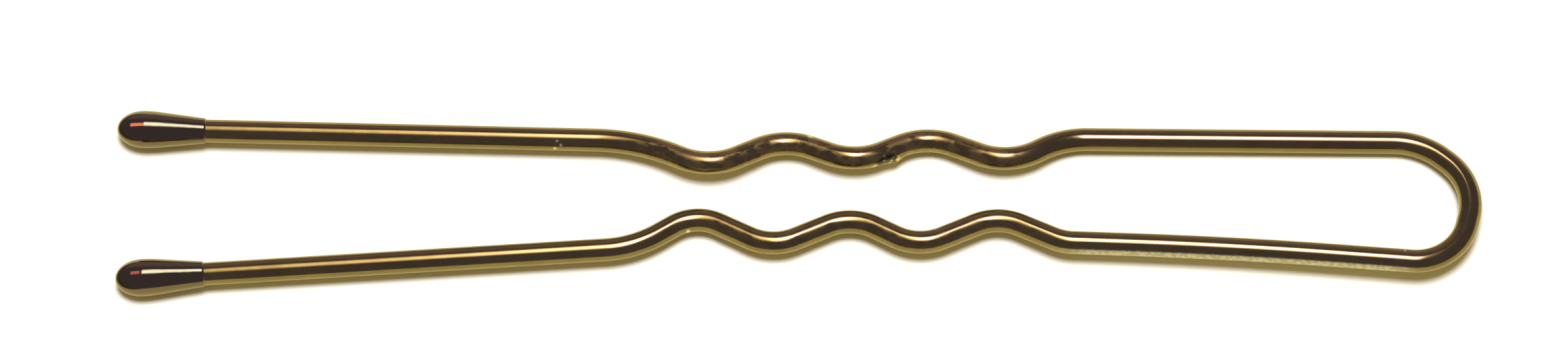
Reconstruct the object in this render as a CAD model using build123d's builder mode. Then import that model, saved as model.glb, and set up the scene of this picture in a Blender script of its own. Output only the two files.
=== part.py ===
from build123d import *
from math import radians, sin
import os

# A french hair pin: one wire bent into a long U, crimped halfway along both legs, with a ball tip
# on each end. It lies on z = 0 with its ball tips at -X and its bend at +X, in millimetres.

# Driving sizes
LENGTH = 70.0
WIRE_DIAMETER = 1.2
BALL_DIAMETER = 1.95
BALL_NOSE = 1.4
BALL_SHOULDER_RADIUS = 7.0
BALL_TAPER = 6.6
BALL_LENGTH = 4.55
WIRE_END_FROM_NOSE = 1.6
BORE_DIAMETER = 1.26
BORE_END_GAP = 0.05

# How the pin lies: its balls are thicker than its wire, so it slopes down to where the head rests
NOSE_Y = 4.075
HEADING = -1.4
PITCH = 0.0369

# Radii of the mandrels that the wire is bent round
BACK_LEAD_RADIUS = 10.0
BACK_CRIMP_RADIUS = 3.2
BACK_EXIT_RADIUS = 4.5
HEAD_RADII = (4.0, 3.2, 2.7)
FRONT_BOW_RADIUS = 250.0
FRONT_CRIMP_RADIUS = 2.8
FRONT_LAST_RADIUS = 2.4
FRONT_LEAD_RADIUS = 6.0

# The back leg from its ball tip, the head and the front leg, as a wire bender makes them.
# Each row is a straight run, a roll of the wire about its own line, and a bend, where a positive
# turn goes left as seen from above. The rolls lean both crimps and lift the front of the head a little.
# Columns: run, roll, turn, radius
BACK_LEG = [
    (22.95, -18.5, -25.0, BACK_LEAD_RADIUS),
    (0.2, 0.0, 53.5, BACK_CRIMP_RADIUS),
    (1.25, 0.0, -50.0, BACK_CRIMP_RADIUS),
    (1.05, 0.0, 49.0, BACK_CRIMP_RADIUS),
    (1.1, 0.0, -50.0, BACK_CRIMP_RADIUS),
    (1.45, 0.0, 55.0, BACK_CRIMP_RADIUS),
    (0.3, 0.0, -31.5, BACK_EXIT_RADIUS),
]
HEAD = [
    (15.7, 11.0, -39.5, HEAD_RADII[0]),
    (0.3, 0.0, -64.0, HEAD_RADII[1]),
    (0.45, 0.85, -81.0, HEAD_RADII[2]),
]
FRONT_LEG = [
    (3.75, 0.0, 2.5, FRONT_BOW_RADIUS),
    (2.7, -1.5, -22.0, FRONT_CRIMP_RADIUS),
    (1.85, 0.0, 48.0, FRONT_CRIMP_RADIUS),
    (1.85, 0.0, -51.0, FRONT_CRIMP_RADIUS),
    (1.2, 0.0, 51.0, FRONT_CRIMP_RADIUS),
    (1.8, 0.0, -50.0, FRONT_CRIMP_RADIUS),
    (1.75, 0.0, 58.0, FRONT_LAST_RADIUS),
    (0.85, 0.0, -28.0, FRONT_LEAD_RADIUS),
]
LAST_RUN = 23.53

WIRE_RADIUS = WIRE_DIAMETER / 2
BALL_RADIUS = BALL_DIAMETER / 2
BORE_RADIUS = BORE_DIAMETER / 2


def ahead(head, run):
    """The bender's head after a straight run: its origin on the wire and its x along it."""
    return head.moved(Location((run, 0, 0)))


def around(head, turn, radius):
    """The bender's head after it has carried the wire round a mandrel."""
    offset = radius if turn > 0 else -radius
    mandrel = head.moved(Location((0, offset, 0), (0, 0, turn)))
    return mandrel.moved(Location((0, -offset, 0)))


def ball_tip(seat):
    """A drop-shaped ball with a blind bore, its nose at the seat and its neck along the seat's x."""
    with BuildPart() as ball:
        with BuildSketch(seat):
            with BuildLine():
                EllipticalCenterArc((BALL_NOSE, 0), BALL_NOSE, BALL_RADIUS, start_angle=90, arc_size=90)
                shoulder = JernArc((BALL_NOSE, BALL_RADIUS), (1, 0), BALL_SHOULDER_RADIUS, -BALL_TAPER)
                taper = PolarLine(shoulder @ 1, BALL_LENGTH - (shoulder @ 1).X, -BALL_TAPER,
                                  length_mode=LengthMode.HORIZONTAL)
                bore_end = (WIRE_END_FROM_NOSE - BORE_END_GAP, 0)
                bore_corner = (bore_end[0], BORE_RADIUS)
                Polyline(taper @ 1, (BALL_LENGTH, BORE_RADIUS), bore_corner, bore_end, (0, 0))
            make_face()
        revolve(axis=Axis(seat.origin, seat.x_dir))
    return ball.part


# Place of the back nose, with the widest ring of the ball on the floor
nose_height = BALL_RADIUS + BALL_NOSE * sin(radians(PITCH))
back_nose = Plane(Location((-LENGTH / 2, NOSE_Y, nose_height), (0, PITCH, HEADING)))

# Wire
back_end = ahead(back_nose, WIRE_END_FROM_NOSE)
with BuildPart() as wire:
    with BuildLine():
        head = back_end
        for run, roll, turn, radius in BACK_LEG + HEAD + FRONT_LEG:
            bend = ahead(head, run).moved(Location((0, 0, 0), (roll, 0, 0)))
            Line(head.origin, bend.origin)
            head = around(bend, turn, radius)
            ThreePointArc(bend.origin, around(bend, turn / 2, radius).origin, head.origin)
        front_end = ahead(head, LAST_RUN)
        Line(head.origin, front_end.origin)
    with BuildSketch(Plane(back_end.origin, z_dir=back_end.x_dir)):
        Circle(WIRE_RADIUS)
    sweep()

# Ball tips
front_nose = ahead(front_end, WIRE_END_FROM_NOSE).moved(Location((0, 0, 0), (0, 0, 180)))
back_tip = ball_tip(back_nose)
front_tip = ball_tip(front_nose)

# One file for each piece
os.makedirs("parts", exist_ok=True)
wire.part.label = "wire"
export_step(wire.part, "parts/wire.step")
back_tip.label = "back_ball_tip"
export_step(back_tip, "parts/back_ball_tip.step")
front_tip.label = "front_ball_tip"
export_step(front_tip, "parts/front_ball_tip.step")
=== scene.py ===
"""A french hair pin of crimped, lacquered wire with a dipped ball on each end, laid on a pale floor."""

from math import asin, ceil, cos, pi, radians, sin, tan

import bpy
from bpy.props import FloatProperty, IntProperty, PointerProperty
from mathutils import Matrix, Vector
from mathutils.kdtree import KDTree


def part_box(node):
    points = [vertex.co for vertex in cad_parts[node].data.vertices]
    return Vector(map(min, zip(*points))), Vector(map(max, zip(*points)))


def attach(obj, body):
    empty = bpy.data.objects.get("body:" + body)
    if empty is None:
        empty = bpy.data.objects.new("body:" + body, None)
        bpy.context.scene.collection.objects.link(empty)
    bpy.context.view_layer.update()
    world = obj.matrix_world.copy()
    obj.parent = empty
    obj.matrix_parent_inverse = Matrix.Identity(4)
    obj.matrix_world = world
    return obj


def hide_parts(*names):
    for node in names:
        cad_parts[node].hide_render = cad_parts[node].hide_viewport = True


bl_info = {
    "name": "French Hair Pin",
    "version": (1, 0, 0),
    "blender": (4, 5, 0),
    "location": "View3D > Sidebar > Hair Pin",
    "description": "A crimped U of lacquered wire with a dipped ball on each end",
    "category": "Add Mesh",
}

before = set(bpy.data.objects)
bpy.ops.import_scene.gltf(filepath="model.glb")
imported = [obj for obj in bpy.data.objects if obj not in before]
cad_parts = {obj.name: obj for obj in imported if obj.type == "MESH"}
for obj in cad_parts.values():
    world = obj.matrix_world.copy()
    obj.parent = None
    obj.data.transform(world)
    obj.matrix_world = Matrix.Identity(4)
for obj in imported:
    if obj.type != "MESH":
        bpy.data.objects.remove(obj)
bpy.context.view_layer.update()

MM = 0.001
BODY = "root"
BALL_NAMES = ("back_ball", "front_ball")
ALONG = "along_the_wire"

# Degrees that the back leg's crimp leans about the leg's own line
BACK_LEAN = 18.5

# The wire's bends from the back ball to the front ball: millimetres and degrees.
# A roll turns the wire about its own line, and a positive turn goes left as seen from above.
# Columns: straight run, roll, turn, radius of the bend
BENDS = (
    (22.95, -BACK_LEAN, -25.0, 10.0),
    (0.2, 0.0, 53.5, 3.2),
    (1.25, 0.0, -50.0, 3.2),
    (1.05, 0.0, 49.0, 3.2),
    (1.1, 0.0, -50.0, 3.2),
    (1.45, 0.0, 55.0, 3.2),
    (0.3, 0.0, -31.5, 4.5),
    (15.7, 11.0, -39.5, 4.0),
    (0.3, 0.0, -64.0, 3.2),
    (0.45, 0.85, -81.0, 2.7),
    (3.75, 0.0, 2.5, 250.0),
    (2.7, -1.5, -22.0, 2.8),
    (1.85, 0.0, 48.0, 2.8),
    (1.85, 0.0, -51.0, 2.8),
    (1.2, 0.0, 51.0, 2.8),
    (1.8, 0.0, -50.0, 2.8),
    (1.75, 0.0, 58.0, 2.4),
    (0.85, 0.0, -28.0, 6.0),
)
LAST_RUN = 23.53 * MM
WIRE_END = 1.6 * MM
WIRE_DIAMETER = 1.2
MOST_BEND_RINGS = 40
RING_TOLERANCE = 0.01 * MM

# The ball tips: the lengths of their parts, the taper in degrees, and the rings of faces on each part
BALL_NOSE = 1.4 * MM
BALL_SHOULDER = 7.0 * MM
BALL_TAPER = 6.6
BALL_LIP = 0.12 * MM
NOSE_RINGS = 18
SHOULDER_RINGS = 8
TAPER_RINGS = 6
LIP_RINGS = 6

# Worn stretches of the wire, and the stretch of the painted pale band of light, in mm along it
BACK_CRIMP = (25.5, 46.0)
FRONT_CRIMP = (95.0, 115.5)
PAINTED_LIGHT_BAND = (76.5, 93.5)

# The burr under the back leg's middle trough: its places as in PALE_MARKS, its radius and reach in mm,
# and its rise as a share of the wire's radius
BURR_COLOUR_PLACE = (38.4, -0.6, "back")
BURR_PEAK_PLACE = (38.75, -0.6, "back")
BURR_RADIUS = 0.74
BURR_REACH = 0.55
BURR_RISE = 0.3

# Pale specks on the wire: mm along it, mm above its line in the picture, leg and radius
PALE_MARKS = (
    (34.4, 0.55, "back", 0.14),
    (21.0, -0.1, "back", 0.07),
    (21.2, -0.3, "back", 0.08),
    (20.9, -0.48, "back", 0.08),
    (114.56, -0.55, "front", 0.14),
    (77.3, 0.58, "front", 0.07),
    (76.5, 0.45, "front", 0.06),
)

CAMERA_ELEVATION = 70.0
CAMERA_TARGET = (-0.762 * MM, 1.53 * MM, 0.0)
CAMERA_CLIP_START = 0.1

# The softbox: its ends along X, its distance from the floor, its angle above the far side and its depth
SOFTBOX_LEFT = -60 * MM
SOFTBOX_RIGHT = 90 * MM
SOFTBOX_DISTANCE = 0.4
SOFTBOX_ELEVATION = 80.0
SOFTBOX_HALF_ANGLE = 25.0
STRIP_GLOW = 5.5
LAMP_SPREAD = 22

# The red cards beside the noses: the ball that sees it, its length in mm, its glow and its Y in mm
RED_CARDS = (
    ("back_ball", 19, 4.2, 9),
    ("front_ball", 12, 2.0, 2),
)
CARD_WIDTH = 8 * MM
CARD_X = -43 * MM
CARD_Z = 23 * MM
CARD_TURN = (-0.2, -0.5, 0)


class PinSizes(bpy.types.PropertyGroup):
    """Sizes of the wire and its balls."""

    wire_diameter: FloatProperty(
        name="Wire Diameter",
        description="Thickness of the lacquered wire",
        default=WIRE_DIAMETER * MM,
        unit="LENGTH",
    )
    wire_sides: IntProperty(name="Wire Sides", description="Faces round the wire", default=48, min=12)
    bend_gap: FloatProperty(
        name="Bend Ring Gap", description="Distance between rings in a bend", default=0.12 * MM, unit="LENGTH"
    )
    run_gap: FloatProperty(
        name="Run Ring Gap", description="Distance between rings on a run", default=0.6 * MM, unit="LENGTH"
    )
    ball_diameter: FloatProperty(
        name="Ball Diameter", description="Widest part of a ball", default=1.95 * MM, unit="LENGTH"
    )
    ball_length: FloatProperty(
        name="Ball Length", description="Nose to lip of a ball", default=4.55 * MM, unit="LENGTH"
    )
    ball_sides: IntProperty(name="Ball Sides", description="Faces round a ball", default=64, min=12)
    nose_y: FloatProperty(
        name="Nose Offset",
        description="Back nose's distance from the middle line",
        default=4.075 * MM,
        unit="LENGTH",
    )
    heading: FloatProperty(
        name="Heading", description="Way that the back leg points", default=radians(-1.4), subtype="ANGLE"
    )
    pitch: FloatProperty(
        name="Pitch",
        description="Slope of the back leg down to the head",
        default=radians(0.0369),
        subtype="ANGLE",
    )


class StageSettings(bpy.types.PropertyGroup):
    """The camera, the softbox and the floor."""

    camera_elevation: FloatProperty(
        name="Camera Elevation",
        description="Angle above the floor",
        default=radians(CAMERA_ELEVATION),
        subtype="ANGLE",
    )
    camera_distance: FloatProperty(
        name="Camera Distance", description="Camera to the pin", default=0.85, unit="LENGTH"
    )
    picture_width: FloatProperty(
        name="Picture Width", description="Width that the picture covers", default=80.535 * MM, unit="LENGTH"
    )
    key_light: FloatProperty(name="Key Light", description="Brightness of the softbox", default=1.0)
    floor_light: FloatProperty(
        name="Floor Light", description="Strength of the lamp on the floor", default=4.0
    )
    lamp_elevation: FloatProperty(
        name="Lamp Elevation",
        description="Angle of the lamp above the far side",
        default=radians(85),
        subtype="ANGLE",
    )
    floor_size: FloatProperty(name="Floor Size", description="Side of the floor", default=6.0, unit="LENGTH")


class Value:
    """One output of a node, which adds, subtracts, multiplies and divides as a number does."""

    def __init__(self, shader, output):
        self.shader = shader
        self.output = output

    def __add__(self, other):
        return self.shader.maths("ADD", self, other)

    __radd__ = __add__

    def __sub__(self, other):
        return self.shader.maths("SUBTRACT", self, other)

    def __rsub__(self, other):
        return self.shader.maths("SUBTRACT", other, self)

    def __mul__(self, other):
        return self.shader.maths("MULTIPLY", self, other)

    __rmul__ = __mul__

    def __truediv__(self, other):
        return self.shader.maths("DIVIDE", self, other)

    def above(self, edge, soft):
        """0 below the edge and 1 above it, with a soft step between."""
        return self.shader.node(
            "ShaderNodeMapRange",
            {"interpolation_type": "SMOOTHSTEP"},
            {"Value": self, "From Min": edge - soft, "From Max": edge + soft},
        )

    def between(self, span, start_soft, end_soft):
        """1 inside the span and 0 outside it, with a soft step at each end."""
        return self.above(span[0], start_soft) * (1 - self.above(span[1], end_soft))


class Shader:
    """Adds nodes to a node tree."""

    def __init__(self, tree):
        self.tree = tree
        tree.nodes.clear()

    def node(self, kind, settings=None, sockets=None, output=0):
        """Adds a node with its settings and the values or links of its sockets, and gives one output."""
        made = self.tree.nodes.new(kind)
        for name, value in (settings or {}).items():
            setattr(made, name, value)
        for name, value in (sockets or {}).items():
            if isinstance(value, Value):
                self.tree.links.new(value.output, made.inputs[name])
            else:
                made.inputs[name].default_value = value
        return Value(self, made.outputs[output]) if made.outputs else made

    def maths(self, operation, first, second):
        """One sum on two numbers."""
        return self.node("ShaderNodeMath", {"operation": operation}, {0: first, 1: second})

    def scaled(self, vector, scale):
        return self.node("ShaderNodeVectorMath", {"operation": "MULTIPLY"}, {0: vector, 1: scale})

    def noise(self, vector, scale, detail=2.0):
        """A noise whose scale is given for each axis, in waves a metre."""
        return self.node(
            "ShaderNodeTexNoise", None, {"Vector": self.scaled(vector, scale), "Scale": 1.0, "Detail": detail}
        )

    def distance(self, first, second):
        """The distance between two places."""
        return self.node("ShaderNodeVectorMath", {"operation": "DISTANCE"}, {0: first, 1: second}, output=1)

    def added(self, first, second):
        return self.node("ShaderNodeVectorMath", {"operation": "ADD"}, {0: first, 1: second})

    def three(self, value):
        """A number as a vector or grey colour."""
        return self.node("ShaderNodeCombineXYZ", None, {0: value, 1: value, 2: value})

    def parts(self, vector):
        """The three parts of a vector."""
        split = self.node("ShaderNodeSeparateXYZ", None, {0: vector}).output.node
        return [Value(self, output) for output in split.outputs]

    def mix(self, factor, first, second):
        return self.node(
            "ShaderNodeMix", {"data_type": "RGBA"}, {"Factor": factor, 6: first, 7: second}, output=2
        )


def new_material(name):
    material = bpy.data.materials.new(name)
    material.use_nodes = True
    return material, Shader(material.node_tree)


def rgba(red, green, blue):
    return (red, green, blue, 1.0)


def seen_at(along, offset, leg):
    """The place of a small mark on the straight wire: mm along it, and mm above its line in the picture."""
    radius = WIRE_DIAMETER / 2
    lean = BACK_LEAN if leg == "back" and along > BENDS[0][0] else 0.0
    angle = asin(max(-1.0, min(1.0, offset / radius))) - radians(90 - CAMERA_ELEVATION + lean)
    side = 1 if leg == "back" else -1
    return (along * MM, side * radius * sin(angle) * MM, radius * cos(angle) * MM)


def burr_strength(shader, along):
    """Strength of the rough burr at the underside of the back leg's middle trough."""
    far = shader.distance(along, seen_at(*BURR_COLOUR_PLACE))
    return 1 - (far / MM).above(BURR_RADIUS, 0.12)


def wire_material():
    """Gold-coloured metal under clear lacquer: drawing streaks along it, ticks across, worn crimps, and a
    pale band of light painted under the front leg.
    """
    material, shader = new_material("lacquered_wire")
    along = shader.node("ShaderNodeAttribute", {"attribute_name": ALONG}, output=1)
    x, y, z = shader.parts(along)
    run = x / MM
    back_crimp = run.between(BACK_CRIMP, 1.5, 1.0)
    front_crimp = run.between(FRONT_CRIMP, 2.0, 2.0)
    clouds = shader.noise(along, (400, 700, 700))
    streaks = shader.noise(along, (250, 9000, 9000))
    ticks = shader.noise(along, (5200, 500, 500))
    mottle = shader.noise(along, (1500, 2600, 2600), 4.0)
    worn = mottle.above(0.5, 0.07) * (0.12 + 0.7 * back_crimp + 0.25 * front_crimp)
    colour = shader.mix(clouds.above(0.5, 0.25), rgba(0.2, 0.152, 0.04), rgba(0.24, 0.184, 0.052))
    colour = shader.mix(worn, colour, rgba(0.34, 0.25, 0.07))
    burr = burr_strength(shader, along)
    lumps = shader.noise(along, (2700, 2700, 2700), 2.0)
    painted_sparkle = shader.noise(along, (3800, 3800, 3800), 3.0)
    colour = shader.mix(burr * (1 - lumps.above(0.49, 0.03)), colour, rgba(0.03, 0.018, 0.008))
    colour = shader.mix(burr * lumps.above(0.54, 0.03), colour, rgba(0.85, 0.68, 0.28))
    pale = 0.0
    for *place, radius in PALE_MARKS:
        far = shader.distance(along, seen_at(*place))
        pale = pale + (1 - (far / MM).above(radius, radius * 0.5))
    colour = shader.mix(pale, colour, rgba(0.9, 0.85, 0.55))
    # A pale speckled band painted along the near underside of the front leg, from the head to its crimp:
    # painted light, the lit floor and its sparkle under the raised leg
    window = run.between(PAINTED_LIGHT_BAND, 1.0, 1.5) * (y / MM).above(0.1, 0.05)
    window = window * (1 - (z / MM).above(0.29, 0.08))
    painted_light = window * (0.5 + 0.5 * painted_sparkle.above(0.5, 0.06))
    colour = shader.mix(painted_light, colour, rgba(0.62, 0.62, 0.52))
    height = streaks * 0.5 + ticks * 0.5 + worn * 0.6 + burr * lumps * 60 + painted_light * 4
    normal = shader.node("ShaderNodeBump", None, {"Height": height, "Distance": 0.0004 * MM})
    surface = shader.node(
        "ShaderNodeBsdfPrincipled",
        None,
        {
            "Base Color": colour,
            "Metallic": 1.0,
            "Roughness": 0.1 + 0.08 * streaks + 0.2 * worn + 0.25 * pale + 0.3 * painted_light,
            "Normal": normal,
            "Coat Weight": 1.0,
            "Coat Roughness": 0.08,
        },
    )
    shader.node("ShaderNodeOutputMaterial", None, {"Surface": surface})
    return material


def ball_material():
    """Dark bronze dipped coat, glossy and a little uneven."""
    material, shader = new_material("ball_coat")
    place = shader.node("ShaderNodeTexCoord", None, None, output=3)
    ripple = shader.noise(place, (900, 1400, 1400))
    colour = shader.mix(ripple, rgba(0.15, 0.112, 0.055), rgba(0.18, 0.135, 0.066))
    normal = shader.node("ShaderNodeBump", None, {"Height": ripple, "Distance": 0.01 * MM})
    surface = shader.node(
        "ShaderNodeBsdfPrincipled",
        None,
        {
            "Base Color": colour,
            "Metallic": 1.0,
            "Roughness": 0.09,
            "Normal": normal,
            "Coat Weight": 1.0,
            "Coat Roughness": 0.06,
        },
    )
    shader.node("ShaderNodeOutputMaterial", None, {"Surface": surface})
    return material


def floor_material():
    """Pale matt paper, which the gloss sees a little darker and warmer, and dark beyond the ball tips."""
    material, shader = new_material("pale_floor")
    place = shader.node("ShaderNodeTexCoord", None, None, output=3)
    tooth = shader.noise(place, (600, 600, 600))
    paper = shader.mix(tooth, rgba(0.8, 0.8, 0.79), rgba(0.84, 0.84, 0.83))
    glossy = shader.node("ShaderNodeLightPath", None, None, output="Is Glossy Ray")
    x = shader.parts(place)[0] / MM
    seen = shader.mix(x.above(-37.0, 1.0), rgba(0.08, 0.07, 0.05), rgba(0.6, 0.55, 0.33))
    colour = shader.mix(glossy, paper, seen)
    surface = shader.node("ShaderNodeBsdfDiffuse", None, {"Color": colour})
    shader.node("ShaderNodeOutputMaterial", None, {"Surface": surface})
    return material


def ahead(head, run):
    """The bender's head after a straight run: its origin on the wire and its x along it."""
    return head @ Matrix.Translation((run, 0, 0))


def around(head, turn, radius):
    """The bender's head after it has carried the wire round a mandrel."""
    offset = radius if turn > 0 else -radius
    mandrel = head @ Matrix.Translation((0, offset, 0)) @ Matrix.Rotation(turn, 4, "Z")
    return mandrel @ Matrix.Translation((0, -offset, 0))


def nose_frames(sizes):
    """The frames at the noses of the two balls, each with its x going into the wire."""
    radius = sizes.ball_diameter / 2
    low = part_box("back_ball_tip")[0]
    height = radius + BALL_NOSE * sin(sizes.pitch)
    back = Matrix.Translation((low.x, sizes.nose_y, height))
    back = back @ Matrix.Rotation(sizes.pitch, 4, "Y") @ Matrix.Rotation(sizes.heading, 4, "Z")
    head = ahead(back, WIRE_END)
    for run, roll, turn, bend_radius in BENDS:
        head = ahead(head, run * MM) @ Matrix.Rotation(radians(roll), 4, "X")
        head = around(head, radians(turn), bend_radius * MM)
    front = ahead(head, LAST_RUN + WIRE_END) @ Matrix.Rotation(pi, 4, "Z")
    return back, front


def start_disc(name, sides, radius, place):
    """Adds a filled circle across the x of a frame and opens it for editing, with all of it selected."""
    bpy.ops.object.select_all(action="DESELECT")
    turned = place @ Matrix.Rotation(pi / 2, 4, "Y")
    bpy.ops.mesh.primitive_circle_add(
        vertices=sides,
        radius=radius,
        fill_type="NGON",
        location=turned.translation,
        rotation=turned.to_euler(),
    )
    piece = bpy.context.object
    piece.name = name
    piece.data.name = name
    bpy.ops.object.transform_apply(location=True, rotation=True, scale=True)
    bpy.ops.object.mode_set(mode="EDIT")
    bpy.ops.mesh.select_mode(type="FACE")
    bpy.ops.mesh.select_all(action="SELECT")
    return piece


def finish_piece(piece, material, node):
    """Closes the edit, points the faces outwards, smooths them and hands the piece to the frame."""
    bpy.ops.mesh.select_all(action="SELECT")
    bpy.ops.mesh.normals_make_consistent(inside=False)
    bpy.ops.object.mode_set(mode="OBJECT")
    bpy.ops.object.select_all(action="DESELECT")
    piece.select_set(True)
    bpy.context.view_layer.objects.active = piece
    bpy.ops.object.shade_smooth()
    piece.data.materials.append(material)
    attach(piece, BODY)
    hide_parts(node)


class HAIRPIN_OT_wire(bpy.types.Operator):
    """Draws the wire out of its back end and bends it to its front end"""

    bl_idname = "hair_pin.wire"
    bl_label = "Bend Wire"

    def execute(self, context):
        sizes = context.scene.pin_sizes
        head = ahead(nose_frames(sizes)[0], WIRE_END)
        wire = start_disc("crimped_wire", sizes.wire_sides, sizes.wire_diameter / 2, head)
        along = 0.0
        rings = [(along, head)]
        for run, roll, turn, radius in BENDS:
            head, along = self.pull(head, along, run * MM, sizes.run_gap, rings)
            head = head @ Matrix.Rotation(radians(roll), 4, "X")
            head, along = self.wrap(head, along, radians(turn), radius * MM, sizes.bend_gap, rings)
        self.pull(head, along, LAST_RUN, sizes.run_gap, rings)
        finish_piece(wire, wire_material(), "wire")
        self.straighten(wire, rings, sizes)
        self.raise_burr(wire, sizes)
        return {"FINISHED"}

    def raise_burr(self, wire, sizes):
        """Pulls out the small burr under the back leg's middle trough."""
        rise = BURR_RISE * sizes.wire_diameter / 2
        place = Vector(seen_at(*BURR_PEAK_PLACE))
        far = [(Vector(item.vector) - place).length for item in wire.data.attributes[ALONG].data]
        nearest = far.index(min(far))
        wire.data.vertices.foreach_set("select", [number == nearest for number in range(len(far))])
        wire.data.edges.foreach_set("select", [False] * len(wire.data.edges))
        wire.data.polygons.foreach_set("select", [False] * len(wire.data.polygons))
        bpy.ops.object.mode_set(mode="EDIT")
        bpy.ops.mesh.select_mode(type="VERT")
        bpy.ops.transform.translate(
            value=(0, -rise, 0),
            use_proportional_edit=True,
            proportional_edit_falloff="SMOOTH",
            proportional_size=BURR_REACH * MM,
            use_proportional_connected=True,
        )
        bpy.ops.object.mode_set(mode="OBJECT")

    def pull(self, head, along, run, gap, rings):
        """Extrudes a straight run."""
        steps = ceil(run / gap)
        step = run / steps
        move = head.to_3x3() @ Vector((step, 0, 0))
        for number in range(steps):
            bpy.ops.mesh.extrude_region_move(TRANSFORM_OT_translate={"value": move})
            rings.append((along + step * (number + 1), ahead(head, step * (number + 1))))
        return rings[-1][1], rings[-1][0]

    def wrap(self, head, along, turn, radius, gap, rings):
        """Spins a bend about its mandrel."""
        steps = min(ceil(abs(turn) * radius / gap), MOST_BEND_RINGS)
        centre = head @ Vector((0, radius if turn > 0 else -radius, 0))
        bpy.ops.mesh.spin(steps=steps, angle=-turn, center=centre, axis=head.to_3x3().col[2])
        step = turn / steps
        for number in range(steps):
            reach = along + abs(step) * radius * (number + 1)
            rings.append((reach, around(head, step * (number + 1), radius)))
        return rings[-1][1], rings[-1][0]

    def straighten(self, wire, rings, sizes):
        """Stores each point's place on the straight wire: along it, and across it in its ring."""
        tree = KDTree(len(rings))
        for number, (along, head) in enumerate(rings):
            tree.insert(head.translation, number)
        tree.balance()
        places = []
        radius = sizes.wire_diameter / 2
        worst = 0.0
        for vertex in wire.data.vertices:
            along, head = rings[tree.find(vertex.co)[1]]
            local = head.inverted() @ vertex.co
            worst = max(worst, abs(local.x), abs(Vector((local.y, local.z)).length - radius))
            places.extend((along + local.x, local.y, local.z))
        if worst > RING_TOLERANCE:
            raise RuntimeError(f"a point of the wire lies {worst} m off its ring")
        attribute = wire.data.attributes.new(ALONG, "FLOAT_VECTOR", "POINT")
        attribute.data.foreach_set("vector", places)


class HAIRPIN_OT_balls(bpy.types.Operator):
    """Dips both ends of the wire into their ball coats"""

    bl_idname = "hair_pin.balls"
    bl_label = "Dip Balls"

    def execute(self, context):
        sizes = context.scene.pin_sizes
        material = ball_material()
        for node, place in zip(("back_ball_tip", "front_ball_tip"), nose_frames(sizes)):
            self.dip(node.replace("_tip", ""), node, place, sizes, material)
        return {"FINISHED"}

    def profile(self, sizes):
        """Distance from the nose and radius of each ring, from the nose to the lip and into the bore."""
        radius = sizes.ball_diameter / 2
        rows = []
        for number in range(1, NOSE_RINGS + 1):
            angle = pi / 2 * number / NOSE_RINGS
            rows.append((BALL_NOSE * (1 - cos(angle)), radius * sin(angle)))
        taper = radians(BALL_TAPER)
        for number in range(1, SHOULDER_RINGS + 1):
            angle = taper * number / SHOULDER_RINGS
            rows.append((BALL_NOSE + BALL_SHOULDER * sin(angle), radius - BALL_SHOULDER * (1 - cos(angle))))
        start = rows[-1]
        run = sizes.ball_length - BALL_LIP - start[0]
        for number in range(1, TAPER_RINGS + 1):
            step = run * number / TAPER_RINGS
            rows.append((start[0] + step, start[1] - step * tan(taper)))
        end = rows[-1]
        hug = sizes.wire_diameter / 2
        for number in range(1, LIP_RINGS + 1):
            angle = pi / 2 * number / LIP_RINGS
            rows.append((end[0] + BALL_LIP * sin(angle), hug + (end[1] - hug) * cos(angle)))
        return rows

    def dip(self, name, node, place, sizes, material):
        """Extrudes one ball ring by ring from its nose, and sizes each ring."""
        rows = self.profile(sizes)
        first = rows[0]
        ball = start_disc(name, sizes.ball_sides, first[1], ahead(place, first[0]))
        axis = place.to_3x3() @ Vector((1, 0, 0))
        for last, row in zip(rows, rows[1:]):
            bpy.ops.mesh.extrude_region_move(TRANSFORM_OT_translate={"value": axis * (row[0] - last[0])})
            scale = row[1] / last[1]
            bpy.ops.transform.resize(
                value=(scale, scale, scale), center_override=ahead(place, row[0]).translation
            )
        finish_piece(ball, material, node)


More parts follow.
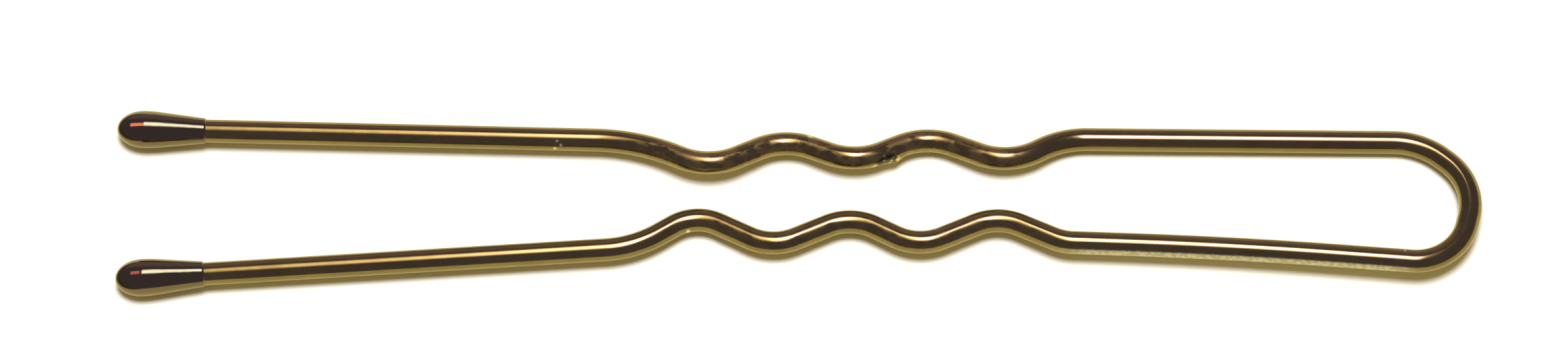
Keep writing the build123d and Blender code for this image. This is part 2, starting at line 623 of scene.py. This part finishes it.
class HAIRPIN_OT_stage(bpy.types.Operator):
    """Lays the floor, hangs the softbox and sets up the camera"""

    bl_idname = "hair_pin.stage"
    bl_label = "Set Stage"

    def execute(self, context):
        settings = context.scene.pin_stage
        self.floor(settings)
        self.world(context, settings)
        self.lights(settings)
        self.camera(context, settings)
        context.scene.view_settings.view_transform = "Standard"
        return {"FINISHED"}

    def floor(self, settings):
        """The pale floor that the pin lies on."""
        bpy.ops.object.select_all(action="DESELECT")
        bpy.ops.mesh.primitive_plane_add(size=settings.floor_size)
        floor = bpy.context.object
        floor.name = "floor"
        floor.data.materials.append(floor_material())

    def world(self, context, settings):
        """A dim room that the gloss sees, mauve at the far side, and an olive fill in the shadows."""
        world = bpy.data.worlds.new("room")
        world.use_nodes = True
        context.scene.world = world
        shader = Shader(world.node_tree)
        glossy = shader.node("ShaderNodeLightPath", None, None, output="Is Glossy Ray")
        camera = shader.node("ShaderNodeLightPath", None, None, output="Is Camera Ray")
        direction = shader.node("ShaderNodeTexCoord", None, None, output=0)
        y = shader.node("ShaderNodeSeparateXYZ", None, {0: direction}, output=1)
        room = shader.mix(y.above(0.78, 0.12), rgba(0.165, 0.145, 0.21), rgba(0.36, 0.26, 0.33))
        fill = shader.mix(camera, rgba(0.42, 0.31, 0.1), rgba(1.0, 1.0, 1.0))
        colour = shader.mix(glossy, fill, room)
        surface = shader.node("ShaderNodeBackground", None, {"Color": colour})
        shader.node("ShaderNodeOutputWorld", None, {"Surface": surface})

    def lights(self, settings):
        self.softbox(settings)
        self.strip(settings)
        self.cards()
        self.sun(settings)

    def softbox(self, settings):
        """A soft-edged box over the far side, orange at its ends and whiter to the right, for the wire."""
        shader, u, v, data = self.panel("softbox", ["crimped_wire"])
        x = SOFTBOX_LEFT / MM + u * (data.size / MM)
        low = v + 0.13 * x.above(12, 12)
        edge = v.above(0.3, 0.25) * (1 - low.above(0.86, 0.14)) * (1 - x.above(53, 8))
        dim = (1.9, 1.5, 0.85)
        left = shader.scaled((1.0, 0.89, 0.92), shader.three(x.above(-18, 16) * 7.5))
        right = shader.scaled((0.35, 0.27, 1.2), shader.three(x.above(12, 26) * 7))
        rim = shader.mix(edge, rgba(1.0, 0.8, 0.72), rgba(1.0, 1.0, 1.0))
        colour = shader.scaled(shader.added(shader.added(dim, left), right), rim)
        self.shine(shader, colour, edge * settings.key_light, data)

    def strip(self, settings):
        """The same box as the balls see it: even and greenish white."""
        shader, u, v, data = self.panel("ball_strip", BALL_NAMES)
        x = SOFTBOX_LEFT / MM + u * (data.size / MM)
        off = shader.maths("ABSOLUTE", v - 0.62, 0.0)
        edge = 1 - (off + 0.1 * x.above(52, 12)).above(0.2, 0.12)
        self.shine(shader, rgba(0.9, 1.0, 1.02), edge * (STRIP_GLOW * settings.key_light), data)

    def panel(self, name, receivers):
        """An area light over the far side that only the named pieces see."""
        elevation = radians(SOFTBOX_ELEVATION)
        data = bpy.data.lights.new(name, "AREA")
        data.shape = "RECTANGLE"
        data.size = SOFTBOX_RIGHT - SOFTBOX_LEFT
        data.size_y = 2 * SOFTBOX_DISTANCE * tan(radians(SOFTBOX_HALF_ANGLE))
        data.energy = 1.0
        data.use_nodes = True
        light = self.hang(name, data, receivers)
        aim = Vector(((SOFTBOX_LEFT + SOFTBOX_RIGHT) / 2, 0, 0))
        light.location = aim + Vector((0, cos(elevation), sin(elevation))) * SOFTBOX_DISTANCE
        light.rotation_euler = (elevation - pi / 2, 0, 0)
        shader = Shader(data.node_tree)
        u, v = shader.parts(shader.node("ShaderNodeNewGeometry", None, None, output="Parametric"))[:2]
        return shader, u, v, data

    def shine(self, shader, colour, strength, data):
        """Gives an area light its emission, where a light of 1 W has the radiance 1 / (pi * area)."""
        strength = strength * (pi * data.size * data.size_y)
        emission = shader.node("ShaderNodeEmission", None, {"Color": colour, "Strength": strength})
        shader.node("ShaderNodeOutputLight", None, {"Surface": emission})

    def cards(self):
        """A small red card beside each ball tip, which only that ball sees."""
        for name, size, glow, y in RED_CARDS:
            data = bpy.data.lights.new("red_card_" + name, "AREA")
            data.shape = "RECTANGLE"
            data.size = size * MM
            data.size_y = CARD_WIDTH
            data.color = (1.0, 0.27, 0.2)
            data.energy = glow * pi * data.size * data.size_y
            light = self.hang("red_card_" + name, data, (name,))
            light.location = (CARD_X, y * MM, CARD_Z)
            light.rotation_euler = CARD_TURN

    def sun(self, settings):
        """The lamp that whitens the floor and throws the narrow shadow."""
        data = bpy.data.lights.new("lamp", "SUN")
        data.energy = settings.floor_light
        data.angle = radians(LAMP_SPREAD)
        light = self.hang("lamp", data)
        light.rotation_euler = (settings.lamp_elevation - pi / 2, 0, 0)
        light.visible_glossy = False

    def hang(self, name, data, receivers=()):
        """Adds a light, and makes it a reflection of only the named pieces where there are any."""
        light = bpy.data.objects.new(name, data)
        bpy.context.scene.collection.objects.link(light)
        if receivers:
            light.visible_camera = False
            light.visible_diffuse = False
            seen_by = bpy.data.collections.new("sees_" + name)
            for piece in receivers:
                seen_by.objects.link(bpy.data.objects[piece])
            light.light_linking.receiver_collection = seen_by
        return light

    def camera(self, context, settings):
        """The camera at the photograph's angle, above the near side."""
        elevation = settings.camera_elevation
        target = Vector(CAMERA_TARGET)
        data = bpy.data.cameras.new("camera")
        data.lens = data.sensor_width * settings.camera_distance / settings.picture_width
        data.clip_start = CAMERA_CLIP_START
        camera = bpy.data.objects.new("camera", data)
        context.scene.collection.objects.link(camera)
        camera.location = target + Vector((0, -cos(elevation), sin(elevation))) * settings.camera_distance
        camera.rotation_euler = (pi / 2 - elevation, 0, 0)
        context.scene.camera = camera


class HAIRPIN_PT_sidebar(bpy.types.Panel):
    """The hair pin's sizes and steps"""

    bl_label = "French Hair Pin"
    bl_idname = "HAIRPIN_PT_sidebar"
    bl_space_type = "VIEW_3D"
    bl_region_type = "UI"
    bl_category = "Hair Pin"

    def draw(self, context):
        for group in (context.scene.pin_sizes, context.scene.pin_stage):
            box = self.layout.box()
            for name in group.bl_rna.properties.keys():
                if name not in {"rna_type", "name"}:
                    box.prop(group, name)
        for step in STEPS:
            self.layout.operator(step.bl_idname)


STEPS = (HAIRPIN_OT_wire, HAIRPIN_OT_balls, HAIRPIN_OT_stage)
CLASSES = (PinSizes, StageSettings, *STEPS, HAIRPIN_PT_sidebar)


def register():
    for kind in CLASSES:
        bpy.utils.register_class(kind)
    bpy.types.Scene.pin_sizes = PointerProperty(type=PinSizes)
    bpy.types.Scene.pin_stage = PointerProperty(type=StageSettings)


def unregister():
    del bpy.types.Scene.pin_stage
    del bpy.types.Scene.pin_sizes
    for kind in reversed(CLASSES):
        bpy.utils.unregister_class(kind)


def main():
    register()
    bpy.ops.hair_pin.wire()
    bpy.ops.hair_pin.balls()
    bpy.ops.hair_pin.stage()


if __name__ == "__main__":
    main()
